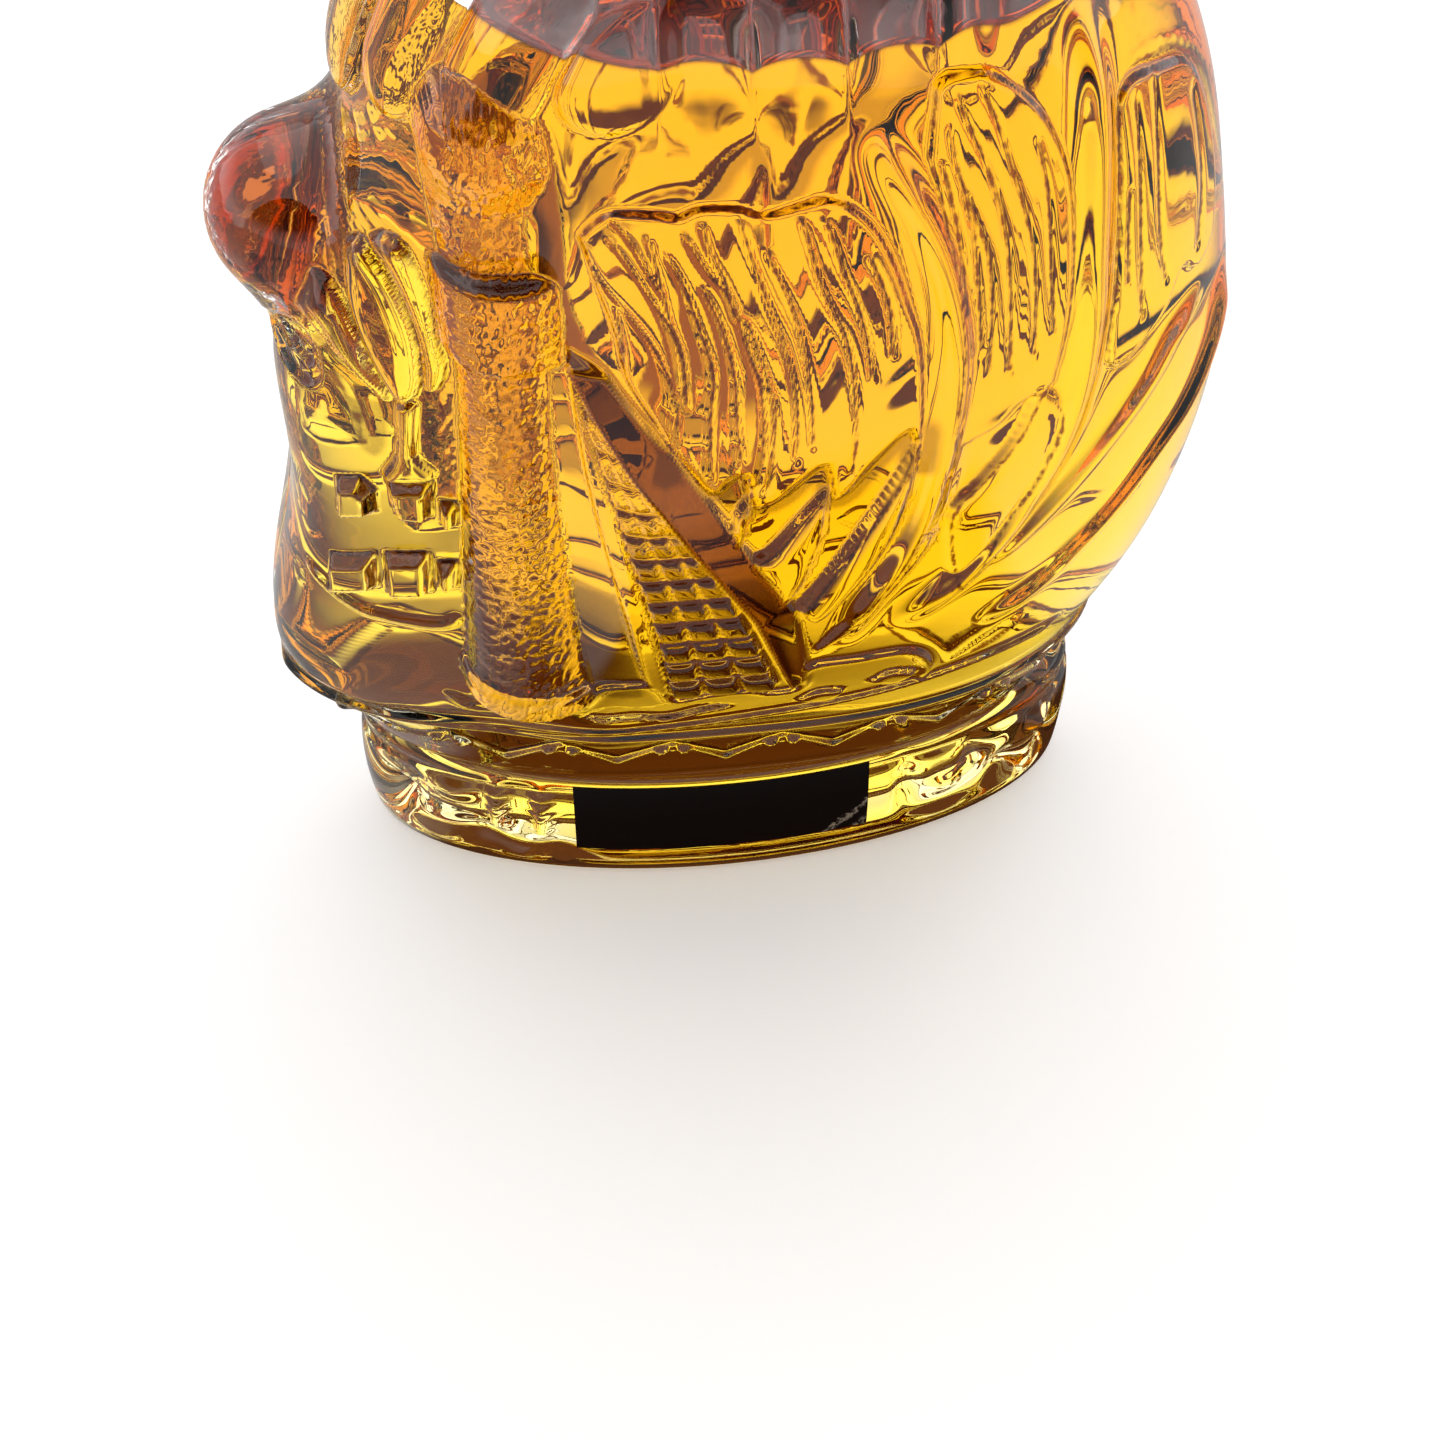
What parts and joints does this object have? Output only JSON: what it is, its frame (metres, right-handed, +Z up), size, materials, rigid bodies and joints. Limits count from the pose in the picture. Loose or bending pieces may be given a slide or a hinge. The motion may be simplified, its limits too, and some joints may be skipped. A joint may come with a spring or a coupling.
{
  "type": "liquor decanter",
  "caption": "Skull-faced glass liquor decanter with a feathered headdress, golden spirit inside, an oval foot with a bare label, and a cork stopper that pulls out.",
  "frame": {"origin": "centre of the foot's underside, on the neck's axis, in the plane the bottle stands on", "axes": "+Z up along the neck's axis, -Y towards the face, +X towards the side that carries the label"},
  "size_m": [0.0796, 0.1257, 0.237],
  "materials": {
    "bottle_glass": "clear moulded glass with a fire-polished surface",
    "golden_spirit": "clear golden amber liquid",
    "label_paper": "satin black sticker, worn at one corner",
    "natural_cork": "natural cork with fine pores",
    "cap_wood": "dark stained turned wood, satin lacquer"
  },
  "bodies": {
    "bottle": {"glass_bottle": "bottle_glass", "spirit": "golden_spirit", "label": "label_paper"},
    "stopper": {"cork_shank": "natural_cork", "stopper_cap": "cap_wood"}
  },
  "joints": [
    {"name": "stopper_pull", "type": "slide", "parent": "bottle", "child": "stopper", "axis": [0, 0, 1], "range_m": [0, 0.026]}
  ]
}
